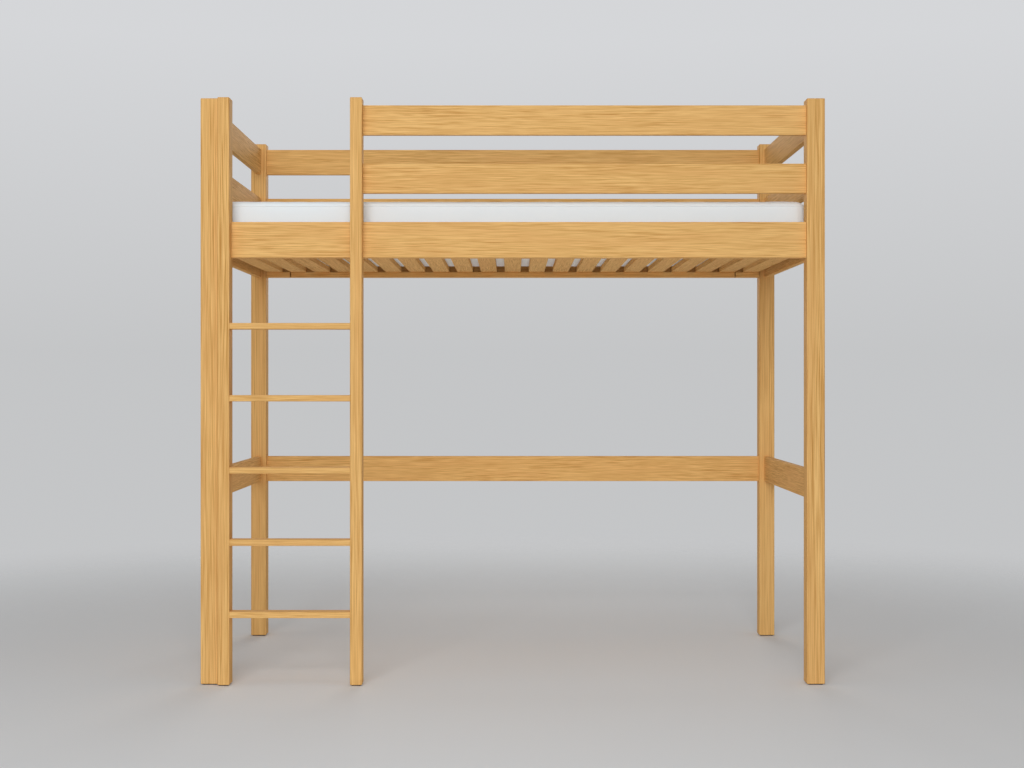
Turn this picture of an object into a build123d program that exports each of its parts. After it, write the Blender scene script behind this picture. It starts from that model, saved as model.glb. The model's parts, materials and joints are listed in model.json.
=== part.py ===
from build123d import *
import os
from collections import defaultdict

# A pine loft bed: two glued end frames, long rails bolted between them, a fixed ladder,
# a slatted base on cleats and a loose mattress.
# +X runs along the bed, to the right as seen from the ladder side, which faces -Y. +Z is up.
# The origin is on the floor, under the middle of the whole bed. Sizes are in millimetres.

# Overall sizes
BED_LENGTH = 2090.0         # along X, over the posts
BED_WIDTH = 1030.0          # along Y, over the posts
POST_TOP = 1964.0           # height above the floor
LADDER_PROUD = 20.0         # how far the ladder stands out in front of the posts
GLIDE_HEIGHT = 3.0          # plastic glides under every foot

# Timber sections
POST_SIZE = 60.0            # square
BOARD = 20.0                # thickness of rails, guards, stretchers and slats
STILE_WIDTH = 40.0
STILE_DEPTH = 60.0
RAIL_HEIGHT = 120.0         # bed rails
GUARD_HEIGHT = 100.0        # guards and stretchers
CLEAT_DEPTH = 25.0
CLEAT_HEIGHT = 21.0

# Heights of the boards' lower edges
RAIL_BOTTOM = 1432.0
GUARD_GAP = 96.0            # between bed rail and guard, and between the two guards
STRETCHER_BOTTOM = 617.0

# Ladder
LADDER_CLEAR = 402.0        # between the stiles
RUNG_COUNT = 5
RUNG_RISE = 241.0
FIRST_TREAD = 247.0         # height of the lowest rung's top
RUNG_THICKNESS = 21.0
RUNG_DEPTH = 50.0
RUNG_SETBACK = 2.0          # behind the stiles' front faces

# Slatted base
SLAT_COUNT = 21
SLAT_PITCH = 95.0
SLAT_WIDTH = 63.0
SLAT_END_GAP = 3.0          # to the inner faces of the bed rails
CLEAT_HALF = 885.0          # half the length of a long cleat
BLOCK_GAP = 4.0             # from a long cleat to the short block beyond its end
BLOCK_TO_POST = 2.0

# Mattress
MATTRESS_LENGTH = 2000.0
MATTRESS_WIDTH = 900.0
MATTRESS_HEIGHT = 154.0
MATTRESS_CORNER = 45.0      # radius seen from above
MATTRESS_EDGE = 18.0        # radius of the top and bottom edges
MATTRESS_REST = 0.2         # air between the slats and the mattress

# Eased edges
POST_EASE = 3.0
BOARD_EASE = 2.5
SLAT_EASE = 2.0
RUNG_EASE = 4.0

# Fasteners
FIT = 0.05                  # radial clearance of dowels, nuts and screws in their holes
BOLT_RADIUS = 3.0
BOLT_HOLE_RADIUS = 3.25
BOLT_HEAD_RADIUS = 7.5
BOLT_HEAD_HEIGHT = 2.5
BOLT_HEAD_EASE = 1.0
BOLT_RECESS_RADIUS = 8.0
BOLT_RECESS_DEPTH = 4.0
BOLT_SOCKET = 2.3           # radius over the corners of the hexagon socket
NUT_RADIUS = 5.0
NUT_LENGTH = 14.0
NUT_HOLE_DEPTH = 16.0
NUT_FROM_RAIL_END = 40.0
BOLT_PAST_NUT = 8.0
RAIL_BOLT_OFFSET = 35.0     # two bolts in a bed rail, either side of its middle
DOWEL_RADIUS = 4.0
DOWEL_REACH = 20.0          # into each of the two parts
DOWEL_SLACK = 0.5           # how much deeper each hole is
DOWEL_OFFSET = 30.0         # two dowels in a 100 mm board, either side of its middle
RUNG_DOWEL_OFFSET = 12.0
LADDER_SCREW_RADIUS = 2.5
LADDER_SCREW_LENGTH = 50.0
RAIL_SCREW_OFFSET = 12.0    # two ladder screws in a bed rail, clear of its bolts
GUARD_SCREW_OFFSET = 25.0
POST_SCREW_RADIUS = 3.5
POST_SCREW_LENGTH = 85.0
POST_SCREW_HEIGHTS = (360.0, 1080.0, 1796.0)
CLEAT_SCREW_RADIUS = 2.0
CLEAT_SCREW_LENGTH = 38.0
CLEAT_SCREWS_EACH_WAY = 5   # from the middle of a long cleat to each end
BLOCK_SCREW_INSET = 15.0    # from the ends of a short block
SLAT_SCREW_RADIUS = 2.0
SLAT_SCREW_LENGTH = 35.0
GLIDE_MARGIN = 5.0          # from the foot's sides to the glide's
GLIDE_CORNER = 5.0
GLIDE_BEVEL = 0.8
NAIL_RADIUS = 1.25
NAIL_LENGTH = 18.0

# A screw's cross recess, as deep as the shank's radius, in shares of that radius
CROSS_WIDTH = 2.2
CROSS_SLOT = 0.5

# Places worked out from the sizes above
HALF_LENGTH = BED_LENGTH / 2
POST_INNER_X = HALF_LENGTH - POST_SIZE
FRONT = (LADDER_PROUD - BED_WIDTH) / 2          # front faces of the front posts
REAR = FRONT + BED_WIDTH                        # rear faces of the rear posts
SETBACK = (POST_SIZE - BOARD) / 2               # boards sit in the middle of the posts
FRONT_BOARD = (FRONT + SETBACK, FRONT + SETBACK + BOARD)
REAR_BOARD = (REAR - SETBACK - BOARD, REAR - SETBACK)
END_BOARD_X = HALF_LENGTH - POST_SIZE / 2
FRONT_POST = (FRONT, FRONT + POST_SIZE)
REAR_POST = (REAR - POST_SIZE, REAR)
BETWEEN_POSTS = (FRONT_POST[1], REAR_POST[0])
RAIL_SPAN = (RAIL_BOTTOM, RAIL_BOTTOM + RAIL_HEIGHT)
LOWER_GUARD_BOTTOM = RAIL_SPAN[1] + GUARD_GAP
LOWER_GUARD = (LOWER_GUARD_BOTTOM, LOWER_GUARD_BOTTOM + GUARD_HEIGHT)
UPPER_GUARD = (LOWER_GUARD[1] + GUARD_GAP, LOWER_GUARD[1] + GUARD_GAP + GUARD_HEIGHT)
STRETCHER = (STRETCHER_BOTTOM, STRETCHER_BOTTOM + GUARD_HEIGHT)
STILE_Y = (FRONT - LADDER_PROUD, FRONT - LADDER_PROUD + STILE_DEPTH)
LEFT_STILE = (-POST_INNER_X, -POST_INNER_X + STILE_WIDTH)
RIGHT_STILE_START = LEFT_STILE[1] + LADDER_CLEAR
RIGHT_STILE = (RIGHT_STILE_START, RIGHT_STILE_START + STILE_WIDTH)
CLEAT_TOP = RAIL_BOTTOM + CLEAT_HEIGHT
SLAT_TOP = CLEAT_TOP + BOARD
MIDDLE_Y = (FRONT_BOARD[1] + REAR_BOARD[0]) / 2

solids = {}                     # node name to solid
holes = defaultdict(list)       # node name to the holes cut in it
hardware = defaultdict(list)    # group name to its separate solids


def middle(span):
    return (span[0] + span[1]) / 2


def block(x_span, y_span, z_span):
    """A square-edged block between three spans."""
    spans = (x_span, y_span, z_span)
    size = [high - low for low, high in spans]
    return Pos(*[middle(span) for span in spans]) * Box(*size)


def board(x_span, y_span, z_span, ease=BOARD_EASE):
    """A straight board between three spans, with its four long edges eased."""
    size = [high - low for low, high in (x_span, y_span, z_span)]
    grain = (Axis.X, Axis.Y, Axis.Z)[size.index(max(size))]
    plank = block(x_span, y_span, z_span)
    return fillet(plank.edges().filter_by(grain), ease)


def rod(start, direction, radius, length):
    """A round bar, or the hole for one, from a point along a direction."""
    base = Plane(origin=start, z_dir=direction)
    return base * Cylinder(radius, length, align=(Align.CENTER, Align.CENTER, Align.MIN))


def drill(nodes, hole):
    for node in nodes:
        holes[node].append(hole)


def step(point, direction, distance):
    """The point a distance along a direction from another point."""
    return tuple(p + d * distance for p, d in zip(point, direction))


def add_dowel(group, nodes, joint, direction):
    """A dowel centred on the joint between two parts, in a blind hole in each."""
    start = step(joint, direction, -DOWEL_REACH)
    mouth = step(start, direction, -DOWEL_SLACK)
    drill(nodes, rod(mouth, direction, DOWEL_RADIUS + FIT, 2 * (DOWEL_REACH + DOWEL_SLACK)))
    hardware[group].append(rod(start, direction, DOWEL_RADIUS, 2 * DOWEL_REACH))


def screw_shape(head, direction, radius, length):
    """A countersunk screw: a cone that narrows to the shank over one radius of depth."""
    base = Plane(origin=head, z_dir=direction)
    cone = base * Cone(2 * radius, radius, radius, align=(Align.CENTER, Align.CENTER, Align.MIN))
    return cone + rod(head, direction, radius, length)


def add_screw(group, nodes, head, direction, radius, length):
    """A countersunk wood screw with a cross recess, its head flush with the face that it goes into."""
    drill(nodes, screw_shape(head, direction, radius + FIT, length + FIT))
    base = Plane(origin=head, z_dir=direction)
    wide, narrow = CROSS_WIDTH * radius, CROSS_SLOT * radius
    cross = Box(wide, narrow, 2 * radius) + Box(narrow, wide, 2 * radius)
    hardware[group].append(screw_shape(head, direction, radius, length) - base * cross)


def add_bolt(post, rail, side, rail_y, z):
    """A connector bolt along X, through a post into a barrel nut across the rail's end.

    side is -1 at the left end and 1 at the right. The barrel nut goes in from the rail's
    back, the face towards +Y, which the front view doesn't show.
    """
    inward = (-side, 0, 0)
    face = (side * HALF_LENGTH, rail_y, z)
    seat = step(face, inward, BOLT_RECESS_DEPTH)
    nut_x = side * (POST_INNER_X - NUT_FROM_RAIL_END)
    reach = abs(seat[0] - nut_x) + BOLT_PAST_NUT
    drill([post], rod(face, inward, BOLT_RECESS_RADIUS, BOLT_RECESS_DEPTH))
    drill([post, rail], rod(seat, inward, BOLT_HOLE_RADIUS, reach + FIT))

    back = (nut_x, rail_y + BOARD / 2, z)
    into_rail = (0, -1, 0)
    drill([rail], rod(back, into_rail, NUT_RADIUS + FIT, NUT_HOLE_DEPTH))
    nut = rod(step(back, into_rail, NUT_HOLE_DEPTH - NUT_LENGTH), into_rail, NUT_RADIUS, NUT_LENGTH)
    thread = rod((nut_x + side * 2 * NUT_RADIUS, rail_y, z), inward, BOLT_RADIUS + FIT, 4 * NUT_RADIUS)
    hardware["barrel_nuts"].append(nut - thread)

    head = rod(step(seat, inward, -BOLT_HEAD_HEIGHT), inward, BOLT_HEAD_RADIUS, BOLT_HEAD_HEIGHT)
    rims = head.edges().filter_by(GeomType.CIRCLE).sort_by(Axis.X)
    head = fillet(rims[-1 if side > 0 else 0], BOLT_HEAD_EASE)
    socket_plane = Plane(origin=step(seat, inward, -BOLT_HEAD_HEIGHT), z_dir=inward)
    socket = extrude(socket_plane * RegularPolygon(BOLT_SOCKET, 6), amount=BOLT_HEAD_HEIGHT)
    hardware["frame_bolts"].append(head + rod(seat, inward, BOLT_RADIUS, reach) - socket)


# Posts, each with a glide under it
posts = {}
for side, side_name in ((-1, "left"), (1, "right")):
    for y_span, row in ((FRONT_POST, "front"), (REAR_POST, "rear")):
        x_span = sorted((side * POST_INNER_X, side * HALF_LENGTH))
        post = block(x_span, y_span, (GLIDE_HEIGHT, POST_TOP))
        node = f"post_{row}_{side_name}"
        solids[node] = fillet(post.edges(), POST_EASE)
        posts[row, side] = node

# Ladder stiles, notched over the boards that pass behind them
guard_start = RIGHT_STILE[0]
stiles = {"ladder_stile_left": LEFT_STILE, "ladder_stile_right": RIGHT_STILE}
for node, x_span in stiles.items():
    stile = fillet(block(x_span, STILE_Y, (GLIDE_HEIGHT, POST_TOP)).edges(), POST_EASE)
    notches = [RAIL_SPAN]
    if node == "ladder_stile_right":
        notches += [LOWER_GUARD, UPPER_GUARD]
    for notch in notches:
        stile -= block(x_span, FRONT_BOARD, notch)
    solids[node] = stile

# Rungs, dowelled between the stiles
rung_front = STILE_Y[0] + RUNG_SETBACK
rung_y = (rung_front, rung_front + RUNG_DEPTH)
for number in range(RUNG_COUNT):
    tread = FIRST_TREAD + number * RUNG_RISE
    node = f"rung_{number + 1}"
    solids[node] = board((LEFT_STILE[1], RIGHT_STILE[0]), rung_y, (tread - RUNG_THICKNESS, tread), RUNG_EASE)
    for stile, x in (("ladder_stile_left", LEFT_STILE[1]), ("ladder_stile_right", RIGHT_STILE[0])):
        for offset in (-RUNG_DOWEL_OFFSET, RUNG_DOWEL_OFFSET):
            joint = (x, middle(rung_y) + offset, tread - RUNG_THICKNESS / 2)
            add_dowel("rung_dowels", [node, stile], joint, (1, 0, 0))

# Long boards, bolted between the end frames
long_x = (-POST_INNER_X, POST_INNER_X)
front_guard_x = (guard_start, POST_INNER_X)
long_boards = [
    ("bed_rail_front", "front", long_x, RAIL_SPAN),
    ("bed_rail_rear", "rear", long_x, RAIL_SPAN),
    ("guard_front_lower", "front", front_guard_x, LOWER_GUARD),
    ("guard_front_upper", "front", front_guard_x, UPPER_GUARD),
    ("guard_rear_lower", "rear", long_x, LOWER_GUARD),
    ("guard_rear_upper", "rear", long_x, UPPER_GUARD),
    ("stretcher_rear", "rear", long_x, STRETCHER),
]
for node, row, x_span, z_span in long_boards:
    y_span = FRONT_BOARD if row == "front" else REAR_BOARD
    solids[node] = board(x_span, y_span, z_span)
    sides = [side for side in (-1, 1) if side * POST_INNER_X in x_span]
    for side in sides:
        post = posts[row, side]
        if node.startswith("bed_rail"):
            for offset in (-RAIL_BOLT_OFFSET, RAIL_BOLT_OFFSET):
                add_bolt(post, node, side, middle(y_span), middle(z_span) + offset)
        else:
            add_bolt(post, node, side, middle(y_span), middle(z_span))
            for offset in (-DOWEL_OFFSET, DOWEL_OFFSET):
                joint = (side * POST_INNER_X, middle(y_span), middle(z_span) + offset)
                add_dowel("frame_dowels", [node, post], joint, (1, 0, 0))

# End boards, glued and dowelled between the front and rear posts
end_boards = [
    ("stretcher", "", STRETCHER),
    ("bed_rail", "_end", RAIL_SPAN),
    ("guard", "_lower", LOWER_GUARD),
    ("guard", "_upper", UPPER_GUARD),
]
for side, side_name in ((-1, "left"), (1, "right")):
    x = side * END_BOARD_X
    for name, suffix, z_span in end_boards:
        node = f"{name}_{side_name}{suffix}"
        solids[node] = board((x - BOARD / 2, x + BOARD / 2), BETWEEN_POSTS, z_span)
        for row, y in (("front", BETWEEN_POSTS[0]), ("rear", BETWEEN_POSTS[1])):
            for offset in (-DOWEL_OFFSET, DOWEL_OFFSET):
                joint = (x, y, middle(z_span) + offset)
                add_dowel("frame_dowels", [node, posts[row, side]], joint, (0, 1, 0))

# Screws that hold the ladder: from behind the boards in the notches, and through the left post
for stile, x_span in stiles.items():
    fixings = [("bed_rail_front", middle(RAIL_SPAN), RAIL_SCREW_OFFSET)]
    if stile == "ladder_stile_right":
        fixings.append(("guard_front_lower", middle(LOWER_GUARD), GUARD_SCREW_OFFSET))
        fixings.append(("guard_front_upper", middle(UPPER_GUARD), GUARD_SCREW_OFFSET))
    for node, height, offset in fixings:
        for z in (height - offset, height + offset):
            head = (middle(x_span), FRONT_BOARD[1], z)
            joined = [node, stile]
            add_screw("ladder_screws", joined, head, (0, -1, 0), LADDER_SCREW_RADIUS, LADDER_SCREW_LENGTH)
for z in POST_SCREW_HEIGHTS:
    head = (-HALF_LENGTH, (FRONT_POST[0] + STILE_Y[1]) / 2, z)
    joined = ["post_front_left", "ladder_stile_left"]
    add_screw("post_screws", joined, head, (1, 0, 0), POST_SCREW_RADIUS, POST_SCREW_LENGTH)

# Cleats along the bed rails, with a short block beyond each end. The screws go in from the back
# of the pair that they join: the front cleat's free face, and the rear rail's outer face
cleat_z = (RAIL_BOTTOM, CLEAT_TOP)
block_x = (CLEAT_HALF + BLOCK_GAP, POST_INNER_X - BLOCK_TO_POST)
slat_places = [SLAT_PITCH * (number - (SLAT_COUNT - 1) / 2) for number in range(SLAT_COUNT)]
block_fixings = (block_x[0] + BLOCK_SCREW_INSET, block_x[1] - BLOCK_SCREW_INSET)
cleat_fixings = [SLAT_PITCH * (2 * number + 0.5) for number in range(CLEAT_SCREWS_EACH_WAY)]
cleat_rows = (
    ("front", (FRONT_BOARD[1], FRONT_BOARD[1] + CLEAT_DEPTH), FRONT_BOARD[1] + CLEAT_DEPTH),
    ("rear", (REAR_BOARD[0] - CLEAT_DEPTH, REAR_BOARD[0]), REAR_BOARD[1]),
)
for row, y_span, back in cleat_rows:
    cleat = f"cleat_{row}"
    solids[cleat] = board((-CLEAT_HALF, CLEAT_HALF), y_span, cleat_z, SLAT_EASE)
    for side in (-1, 1):
        x_span = sorted((side * block_x[0], side * block_x[1]))
        hardware["cleat_blocks"].append(board(x_span, y_span, cleat_z, SLAT_EASE))
        fixings = [(cleat, x) for x in cleat_fixings] + [("cleat_blocks", x) for x in block_fixings]
        for node, x in fixings:
            head = (side * x, back, middle(cleat_z))
            joined = [node, f"bed_rail_{row}"]
            add_screw("cleat_screws", joined, head, (0, -1, 0), CLEAT_SCREW_RADIUS, CLEAT_SCREW_LENGTH)

# Slats, screwed down to the cleats and the end blocks
slat_y = (FRONT_BOARD[1] + SLAT_END_GAP, REAR_BOARD[0] - SLAT_END_GAP)
for number, x in enumerate(slat_places, start=1):
    node = f"slat_{number:02d}"
    solids[node] = board((x - SLAT_WIDTH / 2, x + SLAT_WIDTH / 2), slat_y, (CLEAT_TOP, SLAT_TOP), SLAT_EASE)
    for row, y in (("front", FRONT_BOARD[1] + CLEAT_DEPTH / 2), ("rear", REAR_BOARD[0] - CLEAT_DEPTH / 2)):
        support = f"cleat_{row}" if abs(x) < CLEAT_HALF else "cleat_blocks"
        head = (x, y, SLAT_TOP)
        add_screw("slat_screws", [node, support], head, (0, 0, -1), SLAT_SCREW_RADIUS, SLAT_SCREW_LENGTH)

# Mattress, loose on the slats
mattress_base = SLAT_TOP + MATTRESS_REST
mattress = block(
    (-MATTRESS_LENGTH / 2, MATTRESS_LENGTH / 2),
    (MIDDLE_Y - MATTRESS_WIDTH / 2, MIDDLE_Y + MATTRESS_WIDTH / 2),
    (mattress_base, mattress_base + MATTRESS_HEIGHT),
)
mattress = fillet(mattress.edges().filter_by(Axis.Z), MATTRESS_CORNER)
level_edges = mattress.edges() - mattress.edges().filter_by(Axis.Z)
solids["mattress"] = fillet(level_edges, MATTRESS_EDGE)

# Glides, nailed up into the feet
def add_glide(node, x_span, y_span):
    """A thin plastic glide with a nail, a little smaller than the foot above it."""
    x, y = middle(x_span), middle(y_span)
    width = x_span[1] - x_span[0] - 2 * GLIDE_MARGIN
    depth = y_span[1] - y_span[0] - 2 * GLIDE_MARGIN
    plate = Pos(x, y, 0) * extrude(RectangleRounded(width, depth, GLIDE_CORNER), amount=GLIDE_HEIGHT)
    plate = chamfer(plate.faces().sort_by(Axis.Z)[0].edges(), GLIDE_BEVEL)
    nail_start = (x, y, GLIDE_HEIGHT)
    drill([node], rod(nail_start, (0, 0, 1), NAIL_RADIUS + FIT, NAIL_LENGTH + FIT))
    hardware["glides"].append(plate + rod(nail_start, (0, 0, 1), NAIL_RADIUS, NAIL_LENGTH))


for (row, side), node in posts.items():
    x_span = sorted((side * POST_INNER_X, side * HALF_LENGTH))
    add_glide(node, x_span, FRONT_POST if row == "front" else REAR_POST)
for node, x_span in stiles.items():
    add_glide(node, x_span, STILE_Y)


def drilled(shape, node):
    """The shape with the holes of its node cut in it."""
    return shape - holes[node] if holes[node] else shape


os.makedirs("parts", exist_ok=True)
for node, solid in solids.items():
    export_step(drilled(solid, node), f"parts/{node}.step")
for group, members in hardware.items():
    pieces = [piece.solid() for piece in drilled(Compound(members), group).solids()]
    export_step(Compound(pieces), f"parts/{group}.step")
print(len(solids) + len(hardware), "nodes")
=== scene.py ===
# %% [markdown]
# # A high pine bed with a ladder
#
# This is a bed for one person on four tall posts, with guard boards all round, a straight ladder
# at the front left corner and free space beneath. Its frame is sawn, planed and oiled pine, held by
# bolts, dowels and screws, and a white foam mattress lies loose on a base of slats.
# The joinery was drawn in CAD, where every board, hole and screw has its true size, so those parts
# are loaded as they are and get their finishes here. The soft mattress is made anew in Blender,
# because a plain block can't show how a filled cover swells.

import bpy
import json
import math
import numpy as np
from mathutils.bvhtree import BVHTree
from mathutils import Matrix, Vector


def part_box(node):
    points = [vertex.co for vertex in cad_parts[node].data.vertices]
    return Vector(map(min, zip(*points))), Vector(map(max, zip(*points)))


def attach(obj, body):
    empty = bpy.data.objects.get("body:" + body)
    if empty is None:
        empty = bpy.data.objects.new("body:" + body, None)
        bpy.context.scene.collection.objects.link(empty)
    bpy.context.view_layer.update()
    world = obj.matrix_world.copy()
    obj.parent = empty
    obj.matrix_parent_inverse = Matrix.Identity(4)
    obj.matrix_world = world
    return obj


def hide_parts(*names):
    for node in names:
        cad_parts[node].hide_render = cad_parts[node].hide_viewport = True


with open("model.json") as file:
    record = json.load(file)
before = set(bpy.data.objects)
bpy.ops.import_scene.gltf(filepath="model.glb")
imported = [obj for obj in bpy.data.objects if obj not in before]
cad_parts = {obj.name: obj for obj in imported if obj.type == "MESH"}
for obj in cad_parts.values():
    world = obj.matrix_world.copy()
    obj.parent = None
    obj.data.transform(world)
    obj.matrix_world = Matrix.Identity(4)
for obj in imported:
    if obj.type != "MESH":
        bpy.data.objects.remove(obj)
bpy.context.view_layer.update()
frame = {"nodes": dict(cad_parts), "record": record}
scene = bpy.context.scene
nodes = frame["nodes"]
slot_of = {part["node"]: part["material_slot"] for part in frame["record"]["subparts"]}

# %% [markdown]
# ## Where the viewer stands
#
# The bed is seen straight from the front, a metre above the floor and five and a half metres from its
# middle. A tilted camera would make the posts lean together, so this one is level. The small shift
# moves the frame without tilting it.

# %% Camera
CAMERA_PLACE = (0.0, -5.530, 1.014)
CAMERA_LENS_MM = 52.79
CAMERA_SENSOR_MM = 36.0
CAMERA_SHIFT = (-0.75 / 1024, -2.0 / 1024)

camera_data = bpy.data.cameras.new("camera")
camera_data.sensor_width = CAMERA_SENSOR_MM
camera_data.lens = CAMERA_LENS_MM
camera_data.shift_x, camera_data.shift_y = CAMERA_SHIFT
camera = bpy.data.objects.new("camera", camera_data)
camera.location = CAMERA_PLACE
camera.rotation_euler = (math.pi / 2, 0.0, 0.0)
scene.collection.objects.link(camera)
scene.camera = camera
print("camera at", CAMERA_PLACE, "lens", CAMERA_LENS_MM, "mm")

# %% [markdown]
# ## Sums on sockets
#
# A procedural finish is mostly arithmetic, and long chains of Math nodes are hard to read. So one
# small class wraps a node's output and lets Python's own signs add the nodes: `1 - mask` or
# `ring * 0.5 + streak`. Numbers alone never need a node: Python works them out first.


# %% A socket that can be added and multiplied
def put(socket, value):
    """Gives an input socket a link if the value comes from a node, and a plain number if not."""
    if isinstance(value, Sum):
        socket.id_data.links.new(value.socket, socket)
    else:
        socket.default_value = value


class Sum:
    """A node's output that takes part in Python expressions, each of which adds a Math node."""

    def __init__(self, socket):
        self.socket = socket

    def math(self, operation, *values):
        """One Math node on these values, in the same node tree."""
        node = self.socket.id_data.nodes.new("ShaderNodeMath")
        node.operation = operation
        for socket, value in zip(node.inputs, values):
            put(socket, value)
        return Sum(node.outputs[0])

    def __add__(self, other):
        return self.math("ADD", self, other)

    __radd__ = __add__

    def __sub__(self, other):
        return self.math("SUBTRACT", self, other)

    def __rsub__(self, other):
        return self.math("SUBTRACT", other, self)

    def __mul__(self, other):
        return self.math("MULTIPLY", self, other)

    __rmul__ = __mul__

    def __truediv__(self, other):
        return self.math("DIVIDE", self, other)

    def __rtruediv__(self, other):
        return self.math("DIVIDE", other, self)

    def __abs__(self):
        return self.math("ABSOLUTE", self)


# %% [markdown]
# ## One way to add a node
#
# Blender has hundreds of kinds of shader node, and each has settings and sockets. One method can
# add any of them: it takes the kind, then the settings, then the sockets. The few kinds that come
# back often get a short name of their own, so a finish reads as a recipe.


# %% A tree of nodes
class Nodes:
    """A node tree, with one method that adds any node, and short names for the common ones."""

    def __init__(self, tree):
        self.tree = tree

    def node(self, kind, out, settings=None, **sockets):
        """A node of any type: its settings first, then its sockets by identifier.

        Returns the output whose identifier is given as out."""
        node = self.tree.nodes.new(kind)
        for name, value in (settings or {}).items():
            setattr(node, name, value)
        for name, value in sockets.items():
            put(next(s for s in node.inputs if s.identifier == name), value)
        return Sum(next(s for s in node.outputs if s.identifier == out))

    def place(self):
        """The point being shaded, in metres."""
        return self.node("ShaderNodeTexCoord", "Object")

    def vector(self, operation, out="Vector", **sockets):
        """One Vector Math node."""
        return self.node("ShaderNodeVectorMath", out, {"operation": operation}, **sockets)

    def noise(self, vector, seed, scale, detail=2.0, roughness=0.5):
        """Soft noise from 0 to 1, different for every seed."""
        return self.node("ShaderNodeTexNoise", "Fac", {"noise_dimensions": "4D"}, Vector=vector,
                         W=seed, Scale=scale, Detail=detail, Roughness=roughness)

    def mix(self, factor, first, second):
        """Two colours mixed by a factor from 0 to 1."""
        settings = {"data_type": "RGBA", "blend_type": "MIX", "clamp_factor": True}
        return self.node("ShaderNodeMix", "Result_Color", settings,
                         Factor_Float=factor, A_Color=first, B_Color=second)

    def step(self, value, low, high, start=0.0, end=1.0, curve="SMOOTHSTEP"):
        """A rise from start to end, while the value goes from low to high."""
        return self.node("ShaderNodeMapRange", "Result", {"interpolation_type": curve},
                         Value=value, **{"From Min": low, "From Max": high, "To Min": start, "To Max": end})


# %% A finish
class Finish(Nodes):
    """A material in the making. What is the same all over is set on its shader at once."""

    def __init__(self, name, **constants):
        self.material = bpy.data.materials.new(name)
        self.material.use_nodes = True
        super().__init__(self.material.node_tree)
        self.shader = self.tree.nodes["Principled BSDF"]
        self.coat(**constants)

    def own(self, name, out="Vector"):
        """A property that each object carries, such as the direction of its grain."""
        return self.node("ShaderNodeAttribute", out, {"attribute_type": "OBJECT", "attribute_name": name})

    def coat(self, **sockets):
        """Sets or links the shader's sockets, and returns the material."""
        for name, value in sockets.items():
            put(self.shader.inputs[name.replace("_", " ")], value)
        return self.material

    def bump(self, height, metres, strength=1.0):
        """Small relief: the height, from 0 to 1, stands for this many metres."""
        return self.node("ShaderNodeBump", "Normal", Height=height, Distance=metres, Strength=strength)


# %% [markdown]
# ## The studio
#
# A bed is a piece of joinery, and plain light shows joinery best. So it stands on a pale floor in
# even grey surroundings, which fill the shadows. They light the bed less than they show, so the
# inner faces stay darker than the front. The floor fades out before its edge can be seen.

# %% Surroundings
BACKDROP_LOW = (0.555, 0.562, 0.571, 1.0)
BACKDROP_HIGH = (0.665, 0.674, 0.692, 1.0)
BACKDROP_RISE = (0.02, 0.22)
FILL = 0.43

scene.view_settings.view_transform = "Standard"


def studio_world():
    """Soft grey all round, paler higher up. It fills the shadows a little less than it shows."""
    world = bpy.data.worlds.new("studio")
    world.use_nodes = True
    around = Nodes(world.node_tree)
    height = around.node("ShaderNodeSeparateXYZ", "Z", Vector=around.node("ShaderNodeTexCoord", "Generated"))
    rise = around.step(height, *BACKDROP_RISE, curve="LINEAR")
    seen = around.node("ShaderNodeLightPath", "Is Camera Ray")
    background = world.node_tree.nodes["Background"]
    put(background.inputs["Color"], around.mix(rise, BACKDROP_LOW, BACKDROP_HIGH))
    put(background.inputs["Strength"], seen * (1 - FILL) + FILL)
    return world


scene.world = studio_world()
print("surroundings fill with", FILL, "of what they show")

# %% Floor
FLOOR_TONE = (0.77, 0.77, 0.765, 1.0)
FLOOR_RADIUS = 5.0
FLOOR_FADE = (0.36, 0.92)


def floor_finish():
    """Matt pale grey, clear where the distance from the middle nears the radius."""
    finish = Finish("studio_floor", Base_Color=FLOOR_TONE, Roughness=0.9, Specular_IOR_Level=0.2)
    distance = finish.vector("LENGTH", "Value", Vector=finish.place())
    near, far = (share * FLOOR_RADIUS for share in FLOOR_FADE)
    return finish.coat(Alpha=finish.step(distance, near, far, 1.0, 0.0))


def floor_mesh(radius, rings=24, around=96):
    """A disc: each point is radius share * (cos, sin) of its angle, with the height zero."""
    share = np.linspace(0.0, 1.0, rings + 1)[1:, None] * radius
    turn = np.linspace(0.0, 2 * np.pi, around, endpoint=False)[None, :]
    grid = np.stack([share * np.cos(turn), share * np.sin(turn), np.zeros((rings, around))], axis=-1)
    points = np.concatenate([np.zeros((1, 3)), grid.reshape(-1, 3)])
    index = np.arange(rings * around).reshape(rings, around) + 1
    following = np.roll(index, -1, axis=1)
    quads = np.stack([index[:-1], index[1:], following[1:], following[:-1]], axis=-1).reshape(-1, 4)
    fan = np.stack([np.zeros(around, int), index[0], following[0]], axis=-1)
    mesh = bpy.data.meshes.new("floor")
    mesh.from_pydata(points.tolist(), [], fan.tolist() + quads.tolist())
    return mesh


floor = bpy.data.objects.new("floor", floor_mesh(FLOOR_RADIUS))
floor.data.materials.append(floor_finish())
scene.collection.objects.link(floor)
print("floor", 2 * FLOOR_RADIUS, "m across")

# %% [markdown]
# ### Lamps
#
# The larger a lamp is, as seen from the bed, the softer the shadows are. So every lamp is a panel a
# metre or more wide. The first one, in front, above and a little to the left, does most of the work.
# A low one reaches under the guards to the mattress, one above lights the tops, and the others keep
# the rear and the ends readable. A panel on the floor under the bed lights the slats from below,
# as a sheet of white card would. The lamps themselves are hidden from the camera.


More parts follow.
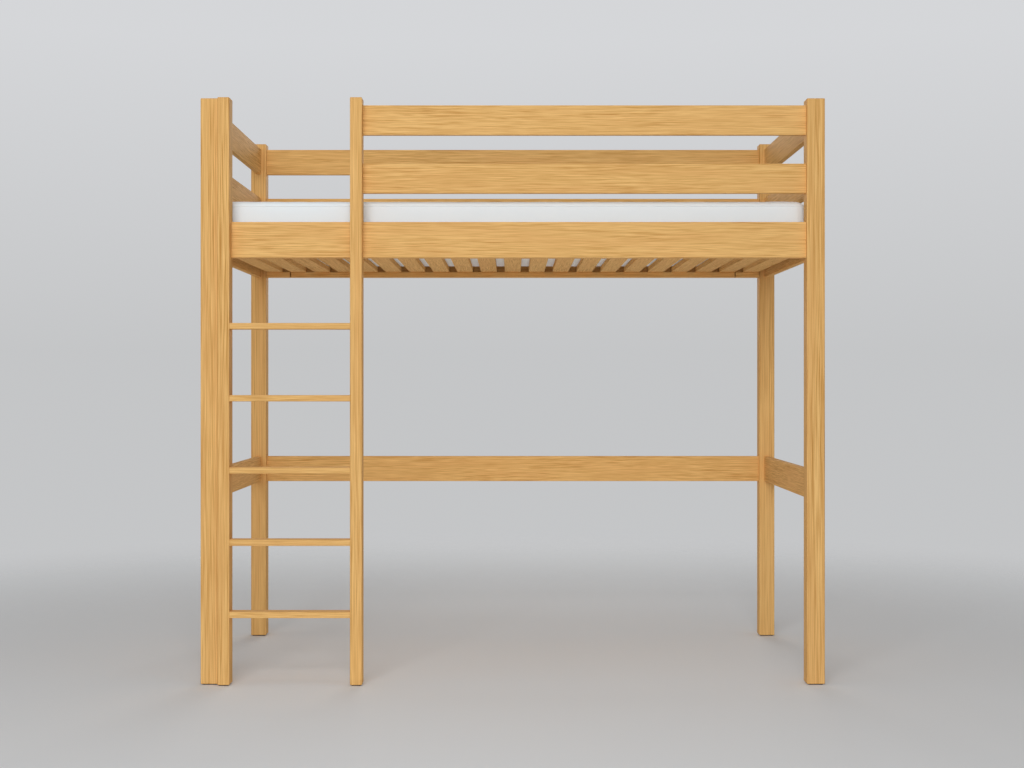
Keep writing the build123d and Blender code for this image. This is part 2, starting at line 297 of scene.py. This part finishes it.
# %% Lamps
def soft_light(name, place, target, size, watts, tint=(1.0, 1.0, 1.0), spread=180.0):
    """A rectangular lamp of this size in metres, turned so that it looks at the target.

    Its light fans out over spread degrees."""
    data = bpy.data.lights.new(name, "AREA")
    data.shape = "RECTANGLE"
    data.size, data.size_y = size
    data.energy = watts
    data.color = tint
    data.spread = math.radians(spread)
    lamp = bpy.data.objects.new(name, data)
    lamp.visible_camera = False
    lamp.location = place
    gaze = np.array(target, float) - np.array(place, float)
    flat = math.hypot(gaze[0], gaze[1])
    lamp.rotation_euler = (math.pi / 2 + math.atan2(gaze[2], flat), 0.0, math.atan2(-gaze[0], gaze[1]))
    scene.collection.objects.link(lamp)
    print(name, "at", place, watts, "W")


BED_MIDDLE = (0.0, 0.0, 1.0)
BED_UPPER = (0.0, 0.0, 1.3)
BED_DECK = (0.0, 0.0, 1.5)
CARD_PLACE = (0.0, -0.2, 0.02)
CARD_TARGET = (0.0, -0.2, 1.0)
COOL_TINT = (0.965, 1.0, 1.035)

soft_light("front_light", (-0.9, -6.0, 2.95), BED_UPPER, size=(3.4, 3.2), watts=166, tint=COOL_TINT)
soft_light("low_light", (0.0, -7.5, 1.3), BED_DECK, size=(3.6, 1.4), watts=68)
soft_light("top_light", (0.0, -0.9, 4.2), BED_DECK, size=(3.0, 2.0), watts=12)
soft_light("rear_light", (0.3, 6.4, 2.8), BED_MIDDLE, size=(3.0, 2.4), watts=95)
for name, side in (("left_light", -1), ("right_light", 1)):
    soft_light(name, (side * 4.4, 0.0, 2.4), BED_MIDDLE, size=(2.4, 2.0), watts=7)
soft_light("floor_card", CARD_PLACE, CARD_TARGET, size=(1.8, 0.8), watts=1.7, spread=110.0)

# %% [markdown]
# ## Pine, sawn from a trunk
#
# A board's figure comes from the trunk that it was sawn from. Each year a pine lays down a pale soft
# ring and a darker hard one, so the trunk is a set of rings round its pith, and every face of a
# board is a cut through the same rings. So the finish doesn't paint stripes on each face: it
# measures how far a point is from the pith, and the stripes on all four sides and the arcs on the
# end grain follow from that. Each board carries the place of its own pith, the direction of
# its fibres and a seed, so no two boards look alike.

# %% Give every board its own place in the trunk
FIBRE_TILT = 0.006
PITH_REACH = (0.07, 0.17)
PITH_TURN = (0.10, 0.75)
UPRIGHT_FIGURE = 1.25
UPRIGHT_PACE = 0.45
rng = np.random.default_rng(2071)
timber = sorted(name for name, slot in slot_of.items() if slot == "oiled_pine")


def place_in_trunk(name):
    """Sets where the board's pith was, which way its fibres run, its seed, figure and pace.

    The fibres run along the board's longest side, tilted by a few thousandths. The pith lies
    70 to 170 mm to one side, mostly along the board's width, as in boards with an upright grain.
    Posts and stiles have a stronger figure, whose lines are longer: their pace along it is slower."""
    low, high = (np.array(corner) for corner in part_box(name))
    order = np.argsort(high - low)
    thin, wide, long = np.eye(3)[order]
    turn = rng.uniform(*PITH_TURN) * rng.choice([-1, 1]) + rng.choice([0, np.pi])
    reach = rng.uniform(*PITH_REACH)
    pith = (low + high) / 2 + reach * (np.cos(turn) * wide + np.sin(turn) * thin)
    tilt = rng.uniform(-FIBRE_TILT, FIBRE_TILT, 2)
    fibres = long + tilt[0] * thin + tilt[1] * wide
    nodes[name]["pith"] = pith.tolist()
    nodes[name]["fibres"] = (fibres / np.linalg.norm(fibres)).tolist()
    nodes[name]["seed"] = float(rng.uniform(0.0, 40.0))
    upright = np.argmax(long) == 2
    nodes[name]["figure"] = UPRIGHT_FIGURE if upright else 1.0
    nodes[name]["pace"] = UPRIGHT_PACE if upright else 1.0


for name in timber:
    place_in_trunk(name)
print(len(timber), "pieces of pine have their place in the trunk")

# %% [markdown]
# ### From rings to colour
#
# The years are counted outwards from the pith, with a slow sway and a fine ripple, because no trunk
# is perfectly round. Within a year the tone darkens slowly and then stops at once, as the growth
# stops in autumn, and some years are darker than others. On top come the long lines of the fibres,
# in several widths: noise squeezed across the fibres and drawn out along them. A picture of wood
# could be laid on each face instead, but it wouldn't go round an edge as these lines do.

# %% The pine finish
RING_WIDTH = 0.0043
RING_SWAY = 0.022
RING_RIPPLE = 0.0022
RING_CONTRAST = 0.18
DASH_WEIGHT = 1.25
WISP_WEIGHT = 2.0
FIBRE_WEIGHT = 0.8
LINE_WEIGHT = 0.5
BOARD_TONE = 0.33
BOARD_VARIETY = 0.20
PALE_WOOD = (0.900, 0.550, 0.205, 1.0)
DARK_WOOD = (0.540, 0.258, 0.062, 1.0)
ROSY_WOOD = (0.790, 0.425, 0.152, 1.0)
END_WOOD = (0.470, 0.245, 0.085, 1.0)


def pine_finish():
    """Rings round the pith, long lines, rosy patches and darker end grain, under a matt oil."""
    finish = Finish("oiled_pine", Specular_IOR_Level=0.06)
    seed = finish.own("seed", "Fac")
    fibres = finish.own("fibres")
    offset = finish.vector("SUBTRACT", Vector=finish.place(), Vector_001=finish.own("pith"))
    along = finish.vector("DOT_PRODUCT", "Value", Vector=offset, Vector_001=fibres)
    across = finish.vector("SUBTRACT", Vector=offset,
                           Vector_001=finish.vector("SCALE", Vector=fibres, Scale=along))
    run = finish.vector("SCALE", Vector=fibres, Scale=along * finish.own("pace", "Fac"))

    def grain(scale, share, shift=0.0, detail=0.0, roughness=0.5):
        """Noise of this scale across the fibres, which changes only this share as fast along them."""
        drawn_out = finish.vector("ADD", Vector=across,
                                  Vector_001=finish.vector("SCALE", Vector=run, Scale=share))
        return finish.noise(drawn_out, seed + shift, scale, detail, roughness)

    sway = grain(9.0, 0.12, detail=1.0)
    ripple = grain(60.0, 0.05, detail=1.0)
    radius = finish.vector("LENGTH", "Value", Vector=across)
    years = (radius + (sway - 0.5) * RING_SWAY + (ripple - 0.5) * RING_RIPPLE) / RING_WIDTH
    part = years.math("FRACT", years)
    year = finish.node("ShaderNodeTexWhiteNoise", "Value", {"noise_dimensions": "1D"},
                       W=years.math("FLOOR", years) + seed)
    late = finish.step(part, 0.25, 0.86) * finish.step(part, 0.90, 1.0, 1.0, 0.0)
    ring = late * (0.25 + 0.75 * year)

    dash = grain(900.0, 0.020, shift=3.1)
    wisp = grain(680.0, 0.008, shift=9.4, detail=1.0)
    fibre = grain(1400.0, 0.012, detail=2.0, roughness=0.7)
    line = finish.step(grain(300.0, 0.018, shift=5.3), 0.70, 0.84)
    lively = finish.step(grain(16.0, 0.16, shift=12.6, detail=1.0), 0.35, 0.65)
    figure = finish.own("figure", "Fac") * (0.7 + 0.6 * lively)
    fine = (dash - 0.5) * DASH_WEIGHT + (wisp - 0.5) * WISP_WEIGHT + (fibre - 0.5) * FIBRE_WEIGHT
    streak = fine + line * LINE_WEIGHT
    shade = (seed.math("FRACT", seed) - 0.5) * BOARD_VARIETY
    tone = BOARD_TONE + shade + ring * RING_CONTRAST + streak * figure

    colour = finish.mix(tone, PALE_WOOD, DARK_WOOD)
    rosy = finish.step(grain(30.0, 0.10, shift=7.7, detail=1.0), 0.4, 0.7)
    colour = finish.mix(rosy * 0.3, colour, ROSY_WOOD)
    facing = abs(finish.vector("DOT_PRODUCT", "Value", Vector_001=fibres,
                               Vector=finish.node("ShaderNodeTexCoord", "Normal")))
    ends = finish.step(facing, 0.55, 0.9)
    colour = finish.mix(ends * (0.55 + 0.4 * ring), colour, END_WOOD)
    relief = ring * 0.5 + fibre * 0.5
    return finish.coat(Base_Color=colour, Roughness=0.58 + 0.10 * dash + 0.14 * ends,
                       Normal=finish.bump(relief, 0.00025, 0.6))


# %% [markdown]
# ## Beech dowels, zinc-plated steel and moulded glides
#
# The dowels are hidden in the joints: plain beech, with its short dark flecks. Screws, bolts and
# barrel nuts are steel with a thin coat of zinc, whose crystals make faint light and dark patches.
# The glides under the feet are a tough brown plastic, moulded with a fine matt grain. All of them
# are small and barely seen, so each finish is one or two noises of the right size on a plain base.


# %% The small finishes
def beech_finish():
    """Pinkish brown wood with fine fibres and short flecks."""
    finish = Finish("dowel_beech", Roughness=0.6)
    stretch = finish.vector("MULTIPLY", Vector=finish.place(), Vector_001=(1.0, 0.25, 0.25))
    fibre = finish.noise(stretch, 1.0, 900.0, 2.0)
    fleck = finish.step(finish.noise(stretch, 4.0, 420.0, 1.0), 0.62, 0.70)
    colour = finish.mix(fibre, (0.62, 0.37, 0.19, 1.0), (0.70, 0.46, 0.26, 1.0))
    colour = finish.mix(fleck * 0.5, colour, (0.38, 0.20, 0.10, 1.0))
    return finish.coat(Base_Color=colour, Normal=finish.bump(fibre, 0.0001))


def zinc_finish():
    """Bright metal with patches of crystal and fine tool marks, a little rougher where duller."""
    finish = Finish("zinc_steel", Metallic=1.0)
    patch = finish.noise(finish.place(), 2.0, 900.0, 2.0, 0.6)
    scratch = finish.noise(finish.place(), 9.0, 6000.0, 1.0)
    colour = finish.mix(patch, (0.50, 0.52, 0.55, 1.0), (0.74, 0.75, 0.76, 1.0))
    return finish.coat(Base_Color=colour, Roughness=0.24 + 0.18 * patch,
                       Normal=finish.bump(scratch, 0.00003, 0.5))


def glide_finish():
    """Brown plastic with a moulded grain, scuffed paler here and there."""
    finish = Finish("glide_plastic")
    grain = finish.noise(finish.place(), 5.0, 2600.0, 2.0)
    scuff = finish.step(finish.noise(finish.place(), 8.0, 160.0, 3.0, 0.7), 0.58, 0.75)
    colour = finish.mix(scuff * 0.4, (0.045, 0.030, 0.020, 1.0), (0.12, 0.09, 0.07, 1.0))
    return finish.coat(Base_Color=colour, Roughness=0.5 + 0.2 * scuff, Normal=finish.bump(grain, 0.00005))


finishes = {"oiled_pine": pine_finish(), "dowel_beech": beech_finish(), "zinc_steel": zinc_finish(),
            "glide_plastic": glide_finish()}
for name, slot in slot_of.items():
    if slot in finishes:
        for holder in nodes[name].material_slots:
            holder.material = finishes[slot]
print("finishes on CAD parts:", ", ".join(finishes))

# %% [markdown]
# ## The mattress
#
# The real one is a block of foam in a sewn knit cover. The foam presses outwards, the cover holds
# it in, so the faces swell a little and the edges stay round and soft. A bevelled block would look
# stiff beside that. Blender's cloth simulation works the balance out: pressure inflates the skin of
# a plain block, and a cap on how far a point may move stands for the firm foam.

# %% The block that starts the simulation
BED_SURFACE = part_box("slat_01")[1].z
mattress_low, mattress_high = (np.array(corner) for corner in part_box("mattress"))


def rounded_ring(half_x, half_y, radius, per_corner=12):
    """A rounded rectangle in plan: four corner centres, plus radius * (cos, sin) of the angle.

    Each corner has per_corner points."""
    angle = np.linspace(0.0, np.pi / 2, per_corner)[None, :] + np.arange(4)[:, None] * np.pi / 2
    sign_x = np.array([1, -1, -1, 1])[:, None]
    sign_y = np.array([1, 1, -1, -1])[:, None]
    x = sign_x * (half_x - radius) + radius * np.cos(angle)
    y = sign_y * (half_y - radius) + radius * np.sin(angle)
    return np.stack([x.ravel(), y.ravel()], axis=-1)


def pillow_block(low, high, corner, edge, steps=8):
    """A closed block: a rounded rectangle in plan, drawn in over quarter circles at both rims."""
    half = (high - low) / 2
    bend = np.linspace(0.0, np.pi / 2, steps)
    inset = np.concatenate([edge * (1 - np.sin(bend)), edge * (1 - np.cos(bend))])
    height = np.concatenate([low[2] + edge * (1 - np.cos(bend)), high[2] - edge * (1 - np.sin(bend))])
    rings = [rounded_ring(half[0] - i, half[1] - i, corner - i) for i in inset]
    count = len(rings[0])
    points = np.column_stack([np.concatenate(rings), np.repeat(height, count)])
    points[:, :2] += ((low + high) / 2)[:2]
    index = np.arange(len(points)).reshape(len(rings), count)
    after = np.roll(index, -1, axis=1)
    quads = np.stack([index[:-1], after[:-1], after[1:], index[1:]], axis=-1).reshape(-1, 4)
    return points, [index[0][::-1].tolist()] + quads.tolist() + [index[-1].tolist()]


def new_piece(name, points, faces):
    """A mesh object at the origin, with its place in its mesh, linked to the scene."""
    mesh = bpy.data.meshes.new(name)
    mesh.from_pydata(np.asarray(points).tolist(), [], faces)
    piece = bpy.data.objects.new(name, mesh)
    scene.collection.objects.link(piece)
    return piece


def coordinates(mesh):
    """All of a mesh's points as an array with three columns."""
    flat = np.empty(3 * len(mesh.vertices))
    mesh.vertices.foreach_get("co", flat)
    return flat.reshape(-1, 3)


START_OUTSET = np.array([0.004, 0.002, 0.0])
CORNER_RADIUS = 0.045
EDGE_RADIUS = 0.020
start_low = mattress_low - START_OUTSET
start_high = mattress_high + START_OUTSET
mattress = new_piece("foam_mattress", *pillow_block(start_low, start_high, CORNER_RADIUS, EDGE_RADIUS))
print("mattress starts with", len(mattress.data.polygons), "faces")

# %% [markdown]
# ### Let the foam press outwards
#
# Under pressure the ends and sides draw in by a few millimetres, as a real cover's do when its broad
# faces bulge, so the block starts a little longer and wider. The cap is a smooth one: small moves
# stay as they are, and large ones level off, so no edge shows where it sets in.

# %% Swell it
VOXEL = 0.011
PRESSURE = 4.0
LAST_FRAME = 20
SWELL_CAP = 0.007


def apply_all(piece):
    """Replaces the piece's mesh by what its modifiers make of it."""
    graph = bpy.context.evaluated_depsgraph_get()
    made = bpy.data.meshes.new_from_object(piece.evaluated_get(graph))
    piece.modifiers.clear()
    piece.data = made


def remesh(piece, voxel):
    """Covers the piece with even squares, which the simulation needs."""
    tool = piece.modifiers.new("even", "REMESH")
    tool.mode = "VOXEL"
    tool.voxel_size = voxel
    apply_all(piece)


def swell(piece, cap):
    """Cloth under pressure; a point that would go d outwards goes cap * tanh(d / cap)."""
    rest = coordinates(piece.data)
    cloth = piece.modifiers.new("swell", "CLOTH")
    cloth.settings.use_pressure = True
    cloth.settings.uniform_pressure_force = PRESSURE
    cloth.settings.effector_weights.gravity = 0.0
    cloth.settings.quality = 4
    cloth.point_cache.frame_start = 1
    cloth.point_cache.frame_end = LAST_FRAME
    for number in range(1, LAST_FRAME + 1):
        scene.frame_set(number)
    apply_all(piece)
    moved = coordinates(piece.data) - rest
    size = np.linalg.norm(moved, axis=1, keepdims=True)
    moved *= cap * np.tanh(size / cap) / np.maximum(size, 1e-9)
    piece.data.vertices.foreach_set("co", (rest + moved).ravel())
    scene.frame_set(1)
    return size.max()


remesh(mattress, VOXEL)
print("largest free swell", round(float(swell(mattress, SWELL_CAP)), 4), "m")
finer = mattress.modifiers.new("finer", "SUBSURF")
finer.levels = finer.render_levels = 1
apply_all(mattress)
print("mattress has", len(mattress.data.polygons), "faces")

# %% [markdown]
# ### Its quilted top and its base
#
# The cover's top is quilted: wadding sewn through along slanting lines, which makes soft diamonds
# with a groove along every seam. The grooves fade out towards the rim, where the top panel is sewn
# to the border. A bump could only shade them, and these are deep enough to see, so they are pressed
# into the mesh. Underneath, the slats carry the mattress, so it is flat there.

# %% Quilt the top
DIAMOND = 0.125
QUILT_SLANT = 1.35
GROOVE_WIDTH = 0.010
GROOVE_DEPTH = 0.0045
QUILT_BORDER = 0.075
SLAT_GAP = 0.0003


def quilt(points):
    """Lowers the top along two slanting families of lines, by a bell curve of the distance.

    The depth fades over the border, where the distance to the cover's rim is small."""
    middle = (mattress_low + mattress_high) / 2
    half = (mattress_high - mattress_low) / 2
    local = points - middle
    rim = np.minimum(half[0] - np.abs(local[:, 0]), half[1] - np.abs(local[:, 1]))
    fade = np.clip((rim - 0.3 * QUILT_BORDER) / (0.7 * QUILT_BORDER), 0, 1)
    top = np.clip((local[:, 2] / half[2] - 0.6) / 0.3, 0, 1)
    depth = np.zeros(len(points))
    for slant in (-1, 1):
        along = (local[:, 0] + slant * QUILT_SLANT * local[:, 1]) / DIAMOND
        gap = np.abs(along - np.round(along)) * DIAMOND / math.hypot(1, QUILT_SLANT)
        depth = np.maximum(depth, np.exp(-((gap / GROOVE_WIDTH) ** 2)))
    points[:, 2] -= GROOVE_DEPTH * depth * fade * fade * (3 - 2 * fade) * top
    return points


points = quilt(coordinates(mattress.data))
points[:, 2] = np.maximum(points[:, 2], BED_SURFACE + SLAT_GAP)
mattress.data.vertices.foreach_set("co", points.ravel())
mattress.data.shade_smooth()
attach(mattress, "mattress")
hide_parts("mattress")
print("mattress from", points.min(0).round(4), "to", points.max(0).round(4))

# %% [markdown]
# ### The knit
#
# The cover is a white jersey. Two sets of fine waves, one across and one slanting, are multiplied,
# so a stitch shows only where both are high. A stitch is a little darker than its surroundings and
# stands out slightly, and a soft sheen stands for the fuzz that catches grazing light.


# %% The cover's finish
def cover_finish():
    """White knit: tiny stitches in rows, slightly uneven in tone, soft at grazing light."""
    finish = Finish("mattress_cover", Sheen_Weight=0.25, Sheen_Roughness=0.5, Specular_IOR_Level=0.3)
    spot = finish.place()
    stitch = finish.node("ShaderNodeTexWave", "Fac", {"wave_type": "BANDS", "bands_direction": "X"},
                         Vector=spot, Scale=420.0, Distortion=1.5, Detail=1.0)
    row = finish.node("ShaderNodeTexWave", "Fac", {"wave_type": "BANDS", "bands_direction": "DIAGONAL"},
                      Vector=spot, Scale=300.0, Distortion=1.5, Detail=1.0)
    cloudy = finish.noise(spot, 3.0, 9.0, 3.0)
    knit = stitch * row
    colour = finish.mix(cloudy, (0.90, 0.95, 0.97, 1.0), (0.93, 0.975, 0.99, 1.0))
    colour = finish.mix(knit * 0.25, colour, (0.72, 0.75, 0.765, 1.0))
    return finish.coat(Base_Color=colour, Roughness=0.78 + 0.14 * cloudy,
                       Normal=finish.bump(knit, 0.0004, 0.5))


cover = cover_finish()
mattress.data.materials.clear()
mattress.data.materials.append(cover)
print("cover finish on the mattress")

# %% [markdown]
# ### Piping
#
# Where the top and the bottom panels meet the border, the cover is sewn with a piped seam: a thin
# cord wrapped in the same cloth. It could be a bevelled curve drawn by hand, but then it would float
# above the swollen form or sink into it. So rays find the form at the seam's height, and a round
# profile is carried along what they hit.

# %% Piping round both seams
PIPING_RADIUS = 0.0020
PIPING_POINTS = 640
SEAM_DEPTH = 0.017
RAY_START = 0.03
RAY_CORNER = 0.08
RAY_REACH = 0.2


def seam_path(surface, height):
    """Points on the mattress at one height, found by level rays that go inwards.

    The rays start on a rounded ring a little outside, and leave it at right angles."""
    middle = (mattress_low + mattress_high) / 2
    half = (mattress_high - mattress_low) / 2
    ring = rounded_ring(half[0] + RAY_START, half[1] + RAY_START, RAY_CORNER, per_corner=32)
    closed = np.concatenate([ring, ring[:1]])
    length = np.concatenate([[0], np.cumsum(np.linalg.norm(np.diff(closed, axis=0), axis=1))])
    even = np.linspace(0, length[-1], PIPING_POINTS, endpoint=False)
    outside = np.column_stack([np.interp(even, length, closed[:, k]) for k in (0, 1)])
    travel = np.roll(outside, -1, axis=0) - np.roll(outside, 1, axis=0)
    inward = np.column_stack([-travel[:, 1], travel[:, 0]])
    inward /= np.linalg.norm(inward, axis=1, keepdims=True)
    hits = [surface.ray_cast((*(start + middle[:2]), height), (*way, 0.0), RAY_REACH)[0]
            for start, way in zip(outside, inward)]
    return np.array(hits), np.column_stack([-inward, np.zeros(len(inward))])


def closed_tube(path, outward, radius, around=10):
    """A circle carried round a closed path: outward * cos + up * sin of the angle, times the radius."""
    turn = np.linspace(0, 2 * np.pi, around, endpoint=False)
    up = np.array([0.0, 0.0, 1.0])
    circle = radius * (np.cos(turn)[None, :, None] * outward[:, None, :] + np.sin(turn)[None, :, None] * up)
    points = (path[:, None, :] + circle).reshape(-1, 3)
    index = np.arange(len(points)).reshape(len(path), around)
    ahead = np.roll(index, -1, axis=0)
    quads = np.stack([index, ahead, np.roll(ahead, -1, axis=1), np.roll(index, -1, axis=1)], axis=-1)
    return points, quads.reshape(-1, 4).tolist()


surface = BVHTree.FromPolygons(coordinates(mattress.data).tolist(),
                               [tuple(face.vertices) for face in mattress.data.polygons])
seams = {"piping_top": start_high[2] - SEAM_DEPTH, "piping_bottom": start_low[2] + SEAM_DEPTH}
for name, height in seams.items():
    path, outward = seam_path(surface, height)
    piping = new_piece(name, *closed_tube(path, outward, PIPING_RADIUS))
    piping.data.shade_smooth()
    piping.data.materials.append(cover)
    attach(piping, "mattress")
    print(name, "at", round(float(height), 4), "m")
